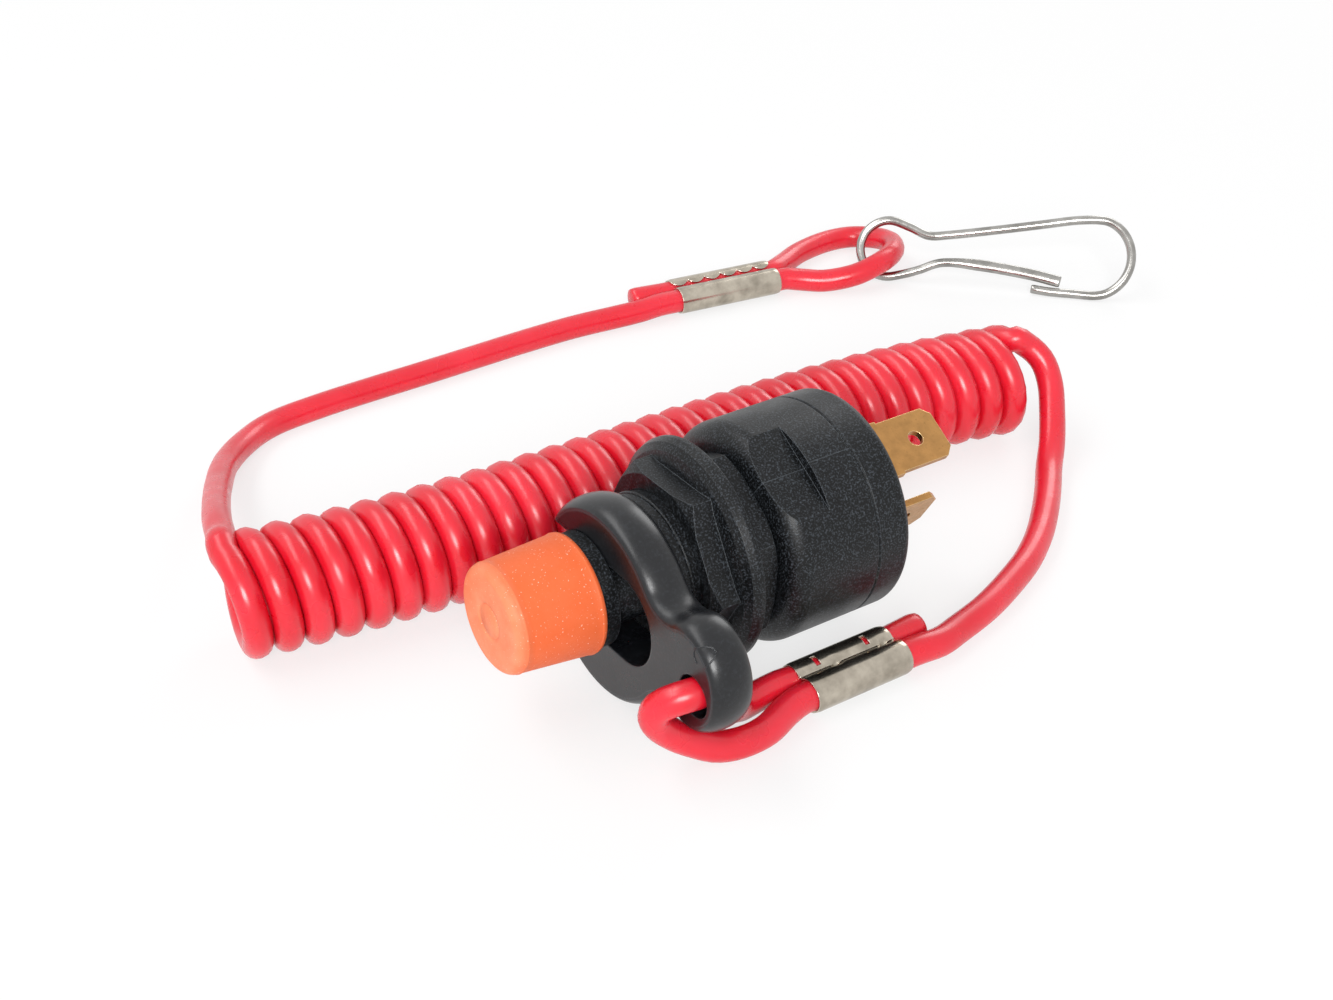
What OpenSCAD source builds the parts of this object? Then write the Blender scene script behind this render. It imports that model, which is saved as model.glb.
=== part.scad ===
// Push-button engine stop switch with a C-shaped lanyard clip and a coiled
// safety cord. The switch lies on its side: its axis runs along X, the blade
// terminals point to +X and the button to -X. The floor is z = 0.

/* [Switch body] */
// Outside diameter of the moulded body
body_d = 25; // [24:0.5:28]
// Length of the body shell behind the lock nut
shell_l = 11.2; // [10.5:0.1:16]
// Visible length of the rear cover
cover_l = 4.4; // [4:0.1:6]
// Wall of the body shell
wall = 2.1; // [1.6:0.1:2.4]
// Depth of the two spanner flats
flat_depth = 1.2; // [0.8:0.1:1.6]
// Length of the spanner flats from the front shoulder
flat_l = 5.7; // [4:0.1:7]
// Angle by which the body lies rolled about its axis
roll = 32; // [0:1:45]

/* [Threaded neck and nuts] */
// Major diameter of the neck thread
neck_d = 16; // [15.5:0.5:18]
// Length of neck that stands out in front of the flange nut
neck_out = 3.4; // [2.5:0.1:8]
// Width across flats of both nuts
nut_af = 19; // [18.5:0.5:23]
// Height of the hexagon of the flange nut
hex_t = 2.7; // [2:0.1:5]
// Diameter of the nut's flange
flange_d = 25; // [24:0.5:28]
// Thickness of the nut's flange
flange_t = 2.4; // [1.8:0.1:4]
// Thickness of the plain lock nut
lock_t = 3.4; // [2.5:0.1:5]

/* [Button and plunger] */
// Diameter of the button cap at its rim
cap_rim_d = 13.2; // [12.6:0.1:15]
// Diameter of the button cap at its face
cap_face_d = 11.9; // [11:0.1:12.6]
// Length of the button cap
cap_l = 10; // [8:0.1:12]
// Diameter of the collar behind the cap
collar_d = 12.5; // [12:0.1:14]
// Thickness of that collar
collar_t = 1.7; // [1.5:0.1:3]
// Diameter of the plunger stem
stem_d = 9.2; // [8.6:0.1:9.6]
// Distance by which the plunger can be pulled out
pull_lift = 1.2; // [0.5:0.1:1.5]

/* [Lanyard clip] */
// Thickness of the clip plate
clip_t = 4.8; // [4:0.1:5.2]
// Width of the slot that takes the stem
slot_w = 10; // [9.9:0.1:11]
// Outside radius of the horseshoe
horseshoe_r = 11.3; // [10.8:0.1:11.4]
// Radius of the tail
tail_r = 6.1; // [5.9:0.1:6.5]
// Distance from the horseshoe's centre to the tail's centre
tail_reach = 15.6; // [15.2:0.1:16.4]
// Radius of the waist between them
waist_r = 4; // [3.2:0.1:6]
// Diameter of the cord hole in the tail
eyelet_d = 4.6; // [4.2:0.1:5]

/* [Terminals] */
// Width of a blade terminal
blade_w = 6.3; // [6.3:0.1:6.5]
// Thickness of a blade terminal
blade_t = 0.8; // [0.5:0.1:1]
// Length of a blade behind the rear cover
blade_out = 10.2; // [9:0.1:12]
// Diameter of the hole in a blade
blade_hole_d = 1.8; // [1.2:0.1:2]

/* [Cord] */
// Diameter of the cord
cord_d = 3.2; // [3:0.1:3.4]
// Outside diameter of the coiled stretch
coil_d = 14.2; // [13:0.1:15]
// Length of the ferrule at the clip
clip_ferrule_l = 12.6; // [10:0.1:14]
// Length of the ferrule at the snap hook
hook_ferrule_l = 16.2; // [12:0.1:17]
// Wall of a crimped ferrule
ferrule_wall = 0.55; // [0.4:0.05:0.6]

/* [Snap hook] */
// Diameter of the hook's wire
wire_d = 1.35; // [1.1:0.05:1.4]

/* [Hidden] */
$fn = 64;

// Clearances
run = 0.1;
seat = 0.05;
fine = 0.02;
over = 1;

// Stations along the switch's axis, from the rear face of the flange nut
flange_front = -flange_t;
hex_front = flange_front - hex_t;
neck_front = hex_front - neck_out;
clip_back = neck_front - 0.3;
clip_front = clip_back - clip_t;
collar_back = clip_front - run;
collar_front = collar_back - collar_t;
cap_front = collar_front - cap_l;
body_front = lock_t + 0.2;
seam = body_front + shell_l;
rear = seam + cover_l;
blade_tip = rear + blade_out;

// Radii
body_r = body_d / 2;
flange_r = flange_d / 2;
neck_r = neck_d / 2;
stem_r = stem_d / 2;
stem_bore_r = stem_r + 0.15;
cavity_r = body_r - wall;
cord_r = cord_d / 2;
nut_bore_r = neck_r + seat;

// Inside of the switch
shoulder_r = 2.5;
front_wall = 2;
cavity_front = body_front + front_wall;
bore_l = 4;
pocket_front = neck_front + bore_l;
pocket_r = neck_r - 1.7;
core_r = 3.4;
disc_t = 1.2;
disc_r = pocket_r - 0.3;
disc_front = cavity_front - 0.4;
disc_back = disc_front + disc_t;
spindle_r = 1.6;
spindle_groove = 0.4;
cap_bore_r = 4.4;
cap_skin = 1.8;
groove_r = stem_r - 0.75;
groove_w = 1.2;
seal_r = 0.42;
seal_at = neck_front + 2.4;

// Contacts
foot_t = 0.8;
foot_front = seam - foot_t;
contact_t = 0.7;
contact_r = 1.3;
contact_front = foot_front - contact_t;
contact_throw = 3;
bridge_t = 0.8;
bridge_r = 6.2;
bridge_back = contact_front - contact_throw;
bridge_front = bridge_back - bridge_t;
ring_t = 0.5;
spindle_end = bridge_back + ring_t + 1;
upper_depth = 2.2;
upper_v = cavity_r - upper_depth;
upper_contact_v = 4.6;
lower_u = -4.5;
lower_v = -1;
lower_contact_u = -3.6;
tab_l = 7.2;
shoulder_w = 0.5;
blade_chamfer = 1;
hole_from_tip = 3.6;

// Lanyard clip, in its own plane
clip_drop = 0.2;
outline_drop = 0.8;
horseshoe_y = -2.1;
slot_end_y = -6.6;
tail_y = horseshoe_y - tail_reach;
eyelet_drop = 1.9;
eyelet_y = tail_y - 1.2;

// Place of the switch: it rests on its flange and body, with the origin at
// the bottom centre of the switch and its clip
axis_h = max(body_r, flange_r);
origin_x = -(cap_front + blade_tip) / 2;
clip_end_y = tail_y - tail_r;
origin_y = -(clip_end_y + axis_h) / 2;

module switch_frame() {
    translate([origin_x, origin_y, axis_h]) rotate([0, 90, 0]) children();
}

// Frame of the cord and hook: the floor, with x from a point just in front of
// the flange nut's rear face and y from the switch's axis
bench_lead = 0.35;
module bench() {
    translate([origin_x - bench_lead, origin_y, 0]) children();
}

// Solid or ring of revolution between two stations
module ring(from, to, outer, inner = 0) {
    translate([0, 0, from])
        difference() {
            cylinder(r = outer, h = to - from);
            if (inner > 0)
                translate([0, 0, -over]) cylinder(r = inner, h = to - from + 2 * over);
        }
}

// Body frame: u runs sideways and v points out of the upper spanner flat
module body_frame() {
    rotate([0, 0, roll + 90]) children();
}

// Unit vector of a
function unit(a) = a / norm(a);

// Round tube along a list of points
function heading(p, i) = unit(p[min(i + 1, len(p) - 1)] - p[max(i - 1, 0)]);
module tube(p, r, sides) {
    n = len(p);
    rings = [for (i = [0 : n - 1])
        let (t = heading(p, i), side = unit(cross(t, [0, 0, 1])), up = cross(side, t))
        for (k = [0 : sides - 1])
            let (a = 360 * (k + 0.5) / sides)
            p[i] + r / cos(180 / sides) * (cos(a) * side + sin(a) * up)];
    walls = [for (i = [0 : n - 2], k = [0 : sides - 1])
        let (a = i * sides + k, b = i * sides + (k + 1) % sides)
        [a, b, b + sides, a + sides]];
    first = [for (k = [sides - 1 : -1 : 0]) k];
    last = [for (k = [0 : sides - 1]) (n - 1) * sides + k];
    polyhedron(points = rings, faces = concat([first], walls, [last]));
}

// Coil spring along the axis, between two stations
spring_sides = 8;
spring_steps = 14;
module spring(from, to, mean_r, wire, turns) {
    n = turns * spring_steps;
    rise = (to - from - wire - 2 * fine) / n;
    rings = [for (i = [0 : n], k = [0 : spring_sides - 1])
        let (a = 360 * i / spring_steps, b = 360 * k / spring_sides, r = mean_r + wire / 2 * cos(b))
        [r * cos(a), r * sin(a), from + fine + wire / 2 + rise * i + wire / 2 * sin(b)]];
    walls = [for (i = [0 : n - 1], k = [0 : spring_sides - 1])
        let (a = i * spring_sides + k, b = i * spring_sides + (k + 1) % spring_sides)
        [a, b, b + spring_sides, a + spring_sides]];
    first = [for (k = [spring_sides - 1 : -1 : 0]) k];
    last = [for (k = [0 : spring_sides - 1]) n * spring_sides + k];
    polyhedron(points = rings, faces = concat([first], walls, [last]));
}

// Rubber cap, a tapered cup with a rounded face edge
cap_edge = 1;
module button_cap() {
    color("orange") switch_frame() difference() {
        rotate_extrude() union() {
            polygon([[0, cap_front], [cap_face_d / 2 - cap_edge, cap_front],
                [cap_face_d / 2, cap_front + cap_edge], [cap_rim_d / 2, collar_front],
                [0, collar_front]]);
            translate([cap_face_d / 2 - cap_edge, cap_front + cap_edge]) circle(r = cap_edge);
        }
        translate([0, 0, cap_front + cap_skin])
            cylinder(r = cap_bore_r, h = cap_l);
        translate([0, 0, cap_front - over]) difference() {
            cylinder(r = 1.1, h = over + 0.12);
            cylinder(r = 0.85, h = over + 0.12);
        }
    }
}

// Nylon plunger: spigot, collar, stem with seal groove, spring disc, spindle
module plunger() {
    color("dimgray") switch_frame() rotate_extrude() polygon([
        [0, cap_front + cap_skin], [cap_bore_r - seat, cap_front + cap_skin],
        [cap_bore_r - seat, collar_front], [collar_d / 2, collar_front],
        [collar_d / 2, collar_back], [stem_r, collar_back],
        [stem_r, seal_at - groove_w / 2], [groove_r, seal_at - groove_w / 2],
        [groove_r, seal_at + groove_w / 2], [stem_r, seal_at + groove_w / 2],
        [stem_r, pocket_front + run], [core_r, pocket_front + run],
        [core_r, disc_front], [disc_r, disc_front], [disc_r, disc_back],
        [spindle_r, disc_back], [spindle_r, bridge_back + run],
        [spindle_r - spindle_groove, bridge_back + run],
        [spindle_r - spindle_groove, bridge_back + run + ring_t],
        [spindle_r, bridge_back + run + ring_t], [spindle_r, spindle_end], [0, spindle_end]]);
}

// Rubber seal in the stem's groove
module stem_seal() {
    color("black") switch_frame() rotate_extrude()
        translate([groove_r + seal_r + fine, seal_at]) circle(r = seal_r);
}

// Steel spring that drives the plunger in once the clip is off
return_turns = 6;
module return_spring() {
    color("silver") switch_frame()
        spring(pocket_front, disc_front, core_r + 1.4, 0.9, return_turns);
}

// Small spring that presses the bridge on to its contacts
contact_turns = 3;
module contact_spring() {
    color("silver") switch_frame()
        spring(disc_back, bridge_front, spindle_r + 0.8, 0.5, contact_turns);
}

// Brass disc that joins the two fixed contacts
module contact_bridge() {
    color("gold") switch_frame()
        ring(bridge_front, bridge_back, bridge_r, spindle_r + run);
}

// Open spring-steel ring that holds the bridge on the spindle
module retaining_ring() {
    color("silver") switch_frame() difference() {
        ring(bridge_back + run + fine, bridge_back + run + ring_t - fine,
            spindle_r + 1, spindle_r - spindle_groove + fine);
        translate([0, 0, bridge_back]) linear_extrude(2)
            translate([0, -0.8]) square([spindle_r + 2, 1.6]);
    }
}

// Body shell and threaded neck in one moulding, with two spanner flats
module front_housing() {
    color("darkslategray") switch_frame() difference() {
        rotate_extrude() difference() {
            union() {
                polygon([[0, neck_front], [neck_r - 0.6, neck_front], [neck_r, neck_front + 0.6],
                    [neck_r, body_front], [body_r - shoulder_r, body_front],
                    [body_r, body_front + shoulder_r], [body_r, seam - 0.2],
                    [body_r - 0.2, seam], [0, seam]]);
                translate([body_r - shoulder_r, body_front + shoulder_r]) circle(r = shoulder_r);
            }
            translate([0, neck_front - over]) square([stem_bore_r, bore_l + 2 * over]);
            translate([0, pocket_front]) square([pocket_r, cavity_front - pocket_front + over]);
            translate([0, cavity_front]) square([cavity_r, seam]);
        }
        for (side = [1, -1])
            body_frame() translate([-body_r, side > 0 ? body_r - flat_depth : -body_r - 5 + flat_depth,
                body_front - over])
                cube([body_d, 5, flat_l + over]);
    }
}

// Hexagon with chamfered corners on one end or both
module hexagon(from, to, front_chamfer, rear_chamfer) {
    corner_r = nut_af / 2 / cos(30);
    intersection() {
        translate([0, 0, from]) rotate([0, 0, 30]) cylinder(r = corner_r, h = to - from, $fn = 6);
        rotate_extrude() polygon([[0, from], [corner_r - (front_chamfer ? 1.2 : 0), from],
            [corner_r, from + (front_chamfer ? 0.7 : 0)], [corner_r, to - (rear_chamfer ? 0.7 : 0)],
            [corner_r - (rear_chamfer ? 1.2 : 0), to], [0, to]]);
    }
}

// Front nut with its round flange, whose rear face clamps the panel
module flange_nut() {
    color("darkslategray") switch_frame() difference() {
        union() {
            hexagon(hex_front, flange_front + over, true, false);
            rotate_extrude() polygon([[0, flange_front], [flange_r - 2.2, flange_front],
                [flange_r - 1.1, flange_front + 0.3], [flange_r - 0.3, flange_front + 0.9],
                [flange_r, flange_front + 1.7], [flange_r, -0.2], [flange_r - 0.3, 0], [0, 0]]);
        }
        translate([0, 0, hex_front - over]) cylinder(r = nut_bore_r, h = hex_t + flange_t + 2 * over);
    }
}

// Plain hexagon nut behind the flange
lock_nut_turn = 35;
module lock_nut() {
    color("darkslategray") switch_frame() difference() {
        rotate([0, 0, lock_nut_turn]) hexagon(0, lock_t, false, true);
        translate([0, 0, -over]) cylinder(r = nut_bore_r, h = lock_t + 2 * over);
    }
}

// Rear cover with its locating rim and the two blade slots. The rim's bore
// stays clear of the upper blade's corners
rim_l = 1.6;
rim_wall = 1.1;
blade_corner_r = norm([(blade_w + shoulder_w) / 2, upper_v + blade_t / 2]);
rim_bore_r = max(cavity_r - rim_wall, blade_corner_r + seat);
module rear_cover() {
    color("black") switch_frame() difference() {
        union() {
            rotate_extrude() union() {
                polygon([[0, seam], [body_r - 0.2, seam], [body_r, seam + 0.2], [body_r, rear - 1],
                    [body_r - 1, rear], [0, rear]]);
                translate([body_r - 1, rear - 1]) circle(r = 1);
            }
            ring(seam - rim_l, seam + over, cavity_r - seat, rim_bore_r);
        }
        body_frame() {
            slot_box(0, upper_v, blade_w + shoulder_w, blade_t);
            slot_box(lower_u, lower_v, blade_t, blade_w + shoulder_w);
        }
    }
}
module slot_box(u, v, w, h) {
    translate([u - w / 2 - seat, v - h / 2 - seat, seam - over])
        cube([w + 2 * seat, h + 2 * seat, cover_l + 2 * over]);
}

// One blade along the axis, drawn flat: width along u, thickness along v
module blade() {
    half = blade_w / 2;
    difference() {
        translate([0, blade_t / 2, 0]) rotate([90, 0, 0]) linear_extrude(blade_t) polygon([
            [-half - shoulder_w / 2, foot_front], [half + shoulder_w / 2, foot_front],
            [half + shoulder_w / 2, blade_tip - tab_l], [half, blade_tip - tab_l],
            [half, blade_tip - blade_chamfer], [half - blade_chamfer, blade_tip],
            [-half + blade_chamfer, blade_tip], [-half, blade_tip - blade_chamfer],
            [-half, blade_tip - tab_l], [-half - shoulder_w / 2, blade_tip - tab_l]]);
        translate([0, over, blade_tip - hole_from_tip]) rotate([90, 0, 0])
            cylinder(d = blade_hole_d, h = 2 * over);
    }
}

// Upper terminal: blade and a foot bent towards the axis
module terminal_upper() {
    color("goldenrod") switch_frame() body_frame() union() {
        translate([0, upper_v, 0]) blade();
        translate([-blade_w / 2, upper_contact_v - contact_r, foot_front])
            cube([blade_w, upper_v - upper_contact_v + contact_r, foot_t]);
    }
}

// Lower terminal, turned a quarter turn from the upper one
module terminal_lower() {
    color("goldenrod") switch_frame() body_frame() union() {
        translate([lower_u, lower_v, 0]) rotate([0, 0, 90]) blade();
        translate([lower_u, lower_v - blade_w / 2, foot_front])
            cube([lower_contact_u - lower_u + contact_r, blade_w, foot_t]);
    }
}

// Silver contact heads riveted on the terminals' feet
module fixed_contacts() {
    color("silver") switch_frame() body_frame()
        for (at = [[0, upper_contact_v], [lower_contact_u, lower_v]])
            translate([at[0], at[1], contact_front]) cylinder(r = contact_r, h = contact_t);
}

// Outline of the clip moved inwards by d, as one loop of arcs
arc_steps = 8;
function arc(c, r, from, to, n) = [for (k = [0 : n])
    let (a = from + (to - from) * k / n) c + r * [cos(a), sin(a)]];
function clip_outline(d) =
    let (
        ra = horseshoe_r + waist_r,
        rb = tail_r + waist_r,
        a = acos((ra * ra + tail_reach * tail_reach - rb * rb) / (2 * ra * tail_reach)),
        w = ra * [cos(a), sin(a)],
        b = atan2(w[1], w[0] - tail_reach)
    )
    concat(
        arc([0, 0], horseshoe_r - d, a, 360 - a, 5 * arc_steps),
        arc([w[0], -w[1]], waist_r + d, 180 - a, 180 - b, arc_steps / 2),
        arc([tail_reach, 0], tail_r - d, -b, b, 3 * arc_steps),
        arc(w, waist_r + d, 180 + b, 180 + a, arc_steps / 2));
// Plate with a fully rounded edge, as a stack of that outline
edge_layers = 4;
module rounded_clip_plate() {
    e = clip_t / 2;
    angles = [for (k = [-edge_layers : edge_layers]) 90 * k / edge_layers];
    loops = [for (q = angles)
        [for (p = clip_outline(0.96 * e * (1 - cos(q)))) [p[0], p[1], e * sin(q)]]];
    n = len(loops[0]);
    m = len(loops);
    walls = [for (j = [0 : m - 2], k = [0 : n - 1])
        let (a = j * n + k, b = j * n + (k + 1) % n) [a, a + n, b + n, b]];
    polyhedron(points = [for (l = loops, p = l) p],
        faces = concat([[for (k = [0 : n - 1]) k]], walls,
            [[for (k = [n - 1 : -1 : 0]) (m - 1) * n + k]]));
}

// C-shaped clip: the slot's mouth faces +Y and the tail with its eyelet -Y
mouth_flare = 1;
module lanyard_clip() {
    color("black") switch_frame()
        translate([clip_drop, 0, clip_front + clip_t / 2]) difference() {
            translate([outline_drop, horseshoe_y, 0]) rotate([0, 0, -90]) rounded_clip_plate();
            translate([0, slot_end_y, -clip_t]) cylinder(d = slot_w, h = 2 * clip_t);
            translate([-slot_w / 2, slot_end_y, -clip_t])
                cube([slot_w, horseshoe_r - slot_end_y, 2 * clip_t]);
            translate([0, horseshoe_y + horseshoe_r - mouth_flare, -clip_t])
                linear_extrude(2 * clip_t) polygon([
                    [-slot_w / 2, -1.5 * mouth_flare], [slot_w / 2, -1.5 * mouth_flare],
                    [slot_w / 2 + 2.5 * mouth_flare, 3 * mouth_flare],
                    [-slot_w / 2 - 2.5 * mouth_flare, 3 * mouth_flare]]);
            translate([eyelet_drop, eyelet_y, -clip_t]) cylinder(d = eyelet_d, h = 2 * clip_t);
        }
}

// Two-barrel crimped sleeve round a pair of cords, along X, at its middle
ferrule_r = cord_r + ferrule_wall;
barrel_y = cord_r + seat;
module ferrule(length) {
    translate([0, 0, ferrule_r]) rotate([0, 90, 0]) difference() {
        union() {
            for (side = [-1, 1])
                translate([0, side * barrel_y, -length / 2]) cylinder(r = ferrule_r, h = length);
            translate([-0.75 * ferrule_r, -barrel_y, -length / 2])
                cube([1.5 * ferrule_r, 2 * barrel_y, length]);
        }
        for (side = [-1, 1])
            translate([0, side * barrel_y, -length]) cylinder(r = cord_r + fine, h = 2 * length);
    }
}

// Places of the two ferrules in the bench frame, and the turn of the second
clip_ferrule_at = [9.3, -15.15, 0];
hook_ferrule_at = [53.4, 69.45, 0];
hook_ferrule_turn = -8.4;

// Two straight stretches of cord inside a ferrule: one ends as a stub past it,
// and both reach a short way into the loop at the other end
clip_stub = 5;
hook_stub = 6.2;
loop_lap = 0.3;
module cord_through_ferrule(length, stub_side, stub_end, stub_l) {
    for (side = [-1, 1]) {
        out = side == stub_side ? stub_l : 0;
        translate([stub_end * (out - loop_lap) / 2, side * barrel_y, ferrule_r]) rotate([0, 90, 0])
            cylinder(r = cord_r - fine, h = length + out + loop_lap, center = true);
    }
}

// Cord routes in the bench frame, from end to end
cord_sides = 8;
clip_loop = [[3, -13.5, 2.15], [1.6, -13.5, 2.15], [-1.2, -13.6, 2.6], [-3.5, -14.3, 4], [-5, -15.8, 6.2],
    [-6.2, -17.7, 8.8], [-8.2, -18.8, 10.3], [-10.4, -18.9, 10.6], [-12.9, -18.9, 10.6],
    [-14.8, -18.2, 10.2], [-16, -17.1, 9.1], [-16.2, -16.5, 7.6], [-15.4, -16.3, 6], [-14, -16.5, 4.5],
    [-12.2, -17, 3.2], [-9.6, -17.9, 1.9], [-6.8, -18.5, 1.6], [-3.6, -18.3, 1.6], [-0.6, -17.3, 1.9],
    [1.6, -16.8, 2.15], [3, -16.8, 2.15]];
right_tail = [[15.75, -16.8, 2.15], [18, -16.8, 2.15], [21, -16.7, 1.8], [24.4, -15.8, 1.6],
    [29.4, -14.5, 1.6], [34.6, -12.5, 1.6], [40.1, -9.9, 1.6], [45, -6.7, 1.6], [49.4, -3.1, 1.6],
    [53.1, 0.3, 1.6], [56.6, 3.8, 1.9], [59.8, 6.8, 3.3], [62.2, 9.6, 5.4], [64, 12.2, 7.8],
    [64.3, 14.4, 10.2], [63, 16.4, 12], [61.1, 17.4, 12.6]];
left_tail = [[-41.5, 26.6, 12.6], [-40.7, 30.8, 12.2], [-39, 36.4, 10.8], [-36.3, 43.8, 8.3],
    [-33.1, 51.6, 5.7], [-29.2, 59.5, 3.4], [-24.2, 65.6, 2], [-18.8, 68.9, 1.6], [-11.8, 69.9, 1.6],
    [-3.8, 70.3, 1.6], [4.2, 70.5, 1.6], [12.2, 70.8, 1.6], [20.2, 71.1, 1.6], [28.2, 71.1, 1.6],
    [34.6, 70.5, 1.6], [38.8, 69.8, 1.8], [42.1, 69.46, 2.15], [45.05, 69.02, 2.15]];
hook_loop = [[61.65, 69.9, 2.15], [63, 69.7, 2.15], [66.4, 71.6, 1.7], [70.8, 73.6, 1.6],
    [76.4, 74.6, 1.6], [80.8, 73.8, 1.7], [83.2, 70.8, 2.1], [83.4, 67.2, 2.7], [81.6, 64, 3.2],
    [78.8, 61.7, 3.5], [75.4, 60.6, 3.3], [71.6, 61.1, 2.4], [67.8, 63.1, 1.7], [65, 65.1, 1.8],
    [62.6, 66.42, 2.15], [61.17, 66.63, 2.15]];
// Ends of the coiled stretch's axis, in the bench frame
coil_start = [-43.3, 26.75];
coil_end = [62.4, 16.95];

module free_cord(points) {
    color("crimson") bench() tube(points, cord_r, cord_sides);
}

// Loop through the clip's eyelet, with the two cords inside the ferrule
module clip_cord_loop() {
    color("crimson") bench() union() {
        tube(clip_loop, cord_r, cord_sides);
        translate(clip_ferrule_at) cord_through_ferrule(clip_ferrule_l, 1, 1, clip_stub);
    }
}
module clip_ferrule() {
    color("silver") bench() translate(clip_ferrule_at) ferrule(clip_ferrule_l);
}
module cord_right_tail() {
    free_cord(right_tail);
}
module cord_left_tail() {
    free_cord(left_tail);
}
module hook_cord_loop() {
    color("crimson") bench() union() {
        tube(hook_loop, cord_r, cord_sides);
        translate(hook_ferrule_at) rotate([0, 0, hook_ferrule_turn])
            cord_through_ferrule(hook_ferrule_l, 1, -1, hook_stub);
    }
}
module hook_ferrule() {
    color("silver") bench() translate(hook_ferrule_at)
        rotate([0, 0, hook_ferrule_turn]) ferrule(hook_ferrule_l);
}
// The close-wound stretch as one solid of its outside diameter
module cord_coil() {
    coil_run = coil_end - coil_start;
    color("crimson") bench() translate([coil_start[0], coil_start[1], coil_d / 2])
        rotate([0, 0, atan2(coil_run[1], coil_run[0])]) rotate([0, 90, 0])
        cylinder(d = coil_d, h = norm(coil_run));
}

// Bent-wire snap hook: gate arm, eye, back, hooked end. Its plane leans on
// the cord: it stands on its lower edge
hook_at = [77.6, 60.95, 0];
hook_turn = -46.8;
hook_lean = 55;
eye_r = 4.3;
hook_route = concat(
    [[26, 1.6], [21, 2.4], [14, 3], [8.4, 2.9], [5, 1.5], [2.6, 0.6]],
    [for (a = [-90 : -30 : -270]) [eye_r * cos(a), eye_r + eye_r * sin(a)]],
    [[3, 7.8], [5.8, 6.8], [9, 7.2], [15, 8.4], [22, 9.9], [27, 11], [30.4, 11.4]],
    [for (a = [70 : -25 : -80]) [30.6 + 5.3 * cos(a), 5.75 + 5.75 * sin(a)]],
    [[27.6, 0], [24.4, 0], [21.8, 0.2]]);
module snap_hook() {
    color("silver") bench() translate([hook_at[0], hook_at[1], wire_d / 2 + seat])
        rotate([0, 0, hook_turn]) rotate([hook_lean, 0, 0])
        flat_wire([for (p = hook_route) [p[0], p[1], 0]], wire_d / 2, cord_sides);
}
// Tube along a route that lies in the plane z = 0
module flat_wire(p, r, sides) {
    n = len(p);
    rings = [for (i = [0 : n - 1])
        let (t = heading(p, i), side = cross(t, [0, 0, 1]))
        for (k = [0 : sides - 1]) let (a = 360 * (k + 0.5) / sides)
            p[i] + r / cos(180 / sides) * (cos(a) * side + sin(a) * cross(side, t))];
    walls = [for (i = [0 : n - 2], k = [0 : sides - 1])
        let (a = i * sides + k, b = i * sides + (k + 1) % sides)
        [a, b, b + sides, a + sides]];
    first = [for (k = [sides - 1 : -1 : 0]) k];
    last = [for (k = [0 : sides - 1]) (n - 1) * sides + k];
    polyhedron(points = rings, faces = concat([first], walls, [last]));
}

button_cap();
plunger();
stem_seal();
return_spring();
contact_spring();
contact_bridge();
retaining_ring();
front_housing();
flange_nut();
lock_nut();
rear_cover();
terminal_upper();
terminal_lower();
fixed_contacts();
lanyard_clip();
clip_cord_loop();
clip_ferrule();
cord_right_tail();
cord_coil();
cord_left_tail();
hook_ferrule();
hook_cord_loop();
snap_hook();
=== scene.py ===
"""Looks of a push-button engine stop switch with its clip and coiled safety cord.

Sizes are in millimetres in the bench frame: x runs along the switch's axis
from just in front of the flange nut's rear face, y runs from that axis, and
the floor is z = 0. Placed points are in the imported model's frame, in metres.
"""

from __future__ import annotations

import logging
import math
from collections.abc import Callable, Sequence
from dataclasses import dataclass
from enum import Enum

import bmesh
import bpy
import numpy as np
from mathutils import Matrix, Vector

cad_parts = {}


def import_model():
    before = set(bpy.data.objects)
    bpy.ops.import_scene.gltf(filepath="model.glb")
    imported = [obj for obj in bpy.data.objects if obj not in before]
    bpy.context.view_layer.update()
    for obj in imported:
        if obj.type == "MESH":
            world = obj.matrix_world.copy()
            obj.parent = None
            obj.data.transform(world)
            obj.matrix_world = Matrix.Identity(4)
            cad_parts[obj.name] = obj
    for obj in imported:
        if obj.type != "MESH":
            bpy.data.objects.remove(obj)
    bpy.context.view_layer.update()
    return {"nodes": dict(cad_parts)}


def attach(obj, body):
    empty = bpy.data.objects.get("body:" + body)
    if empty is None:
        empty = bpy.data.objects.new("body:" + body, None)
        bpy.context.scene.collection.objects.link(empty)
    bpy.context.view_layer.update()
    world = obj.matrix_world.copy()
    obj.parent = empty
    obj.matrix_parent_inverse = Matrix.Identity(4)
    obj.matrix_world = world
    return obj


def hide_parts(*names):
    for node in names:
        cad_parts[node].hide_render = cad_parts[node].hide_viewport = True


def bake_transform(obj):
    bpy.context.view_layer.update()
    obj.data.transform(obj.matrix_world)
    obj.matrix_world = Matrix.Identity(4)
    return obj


LOG = logging.getLogger("stop_switch")

MM = 0.001
BENCH_ORIGIN = np.array([-2.35, 5.65, 0.0])
AXIS_HEIGHT = 12.5
BODY_ROLL = math.radians(32)
BEVEL_SAMPLES = 6
# Sockets of the Mix node for colours, by number because their names repeat
SHARE, FIRST, SECOND, MIXED = 0, 6, 7, 2
# Rounded rim of a tube: distance inwards in diameters, and share of the radius
TUBE_RIM = ((0.0, 0.72), (0.04, 0.93))

Point = Sequence[float]
Points = tuple[Point, ...]
Span = tuple[float, float]
Material = bpy.types.Material
Object = bpy.types.Object
Socket = bpy.types.NodeSocket


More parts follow.
